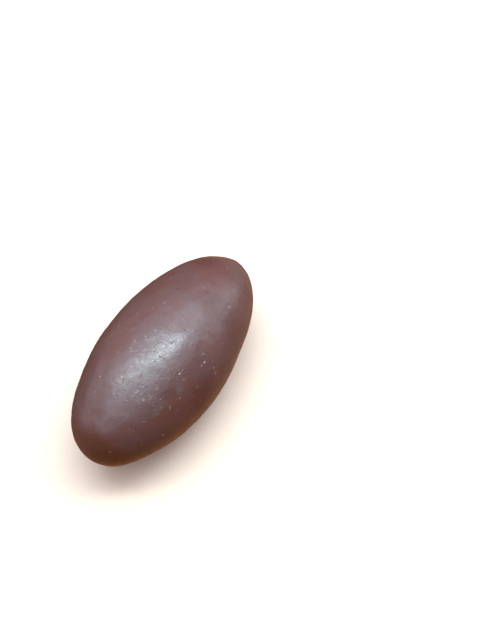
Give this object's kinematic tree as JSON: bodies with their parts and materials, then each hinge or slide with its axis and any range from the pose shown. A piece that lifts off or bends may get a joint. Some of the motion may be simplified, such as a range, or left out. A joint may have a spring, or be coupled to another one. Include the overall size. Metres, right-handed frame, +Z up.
{
  "type": "shiva lingam stone",
  "caption": "Palm-size river stone ground by hand to a long, slightly egg-like oval, lying on its side on a small worn flat spot.",
  "frame": {"origin": "on the surface the stone rests on, below the middle of its box; it lies within the flat spot", "axes": "+X along the long axis, towards the slimmer end; +Y across the belly; +Z up, away from the flat spot"},
  "size_m": [0.062, 0.0306, 0.0295],
  "materials": {
    "polished_stone": "hand-rubbed satin, waxy to the touch"
  },
  "bodies": {
    "root": {"stone": "polished_stone"}
  },
  "joints": []
}
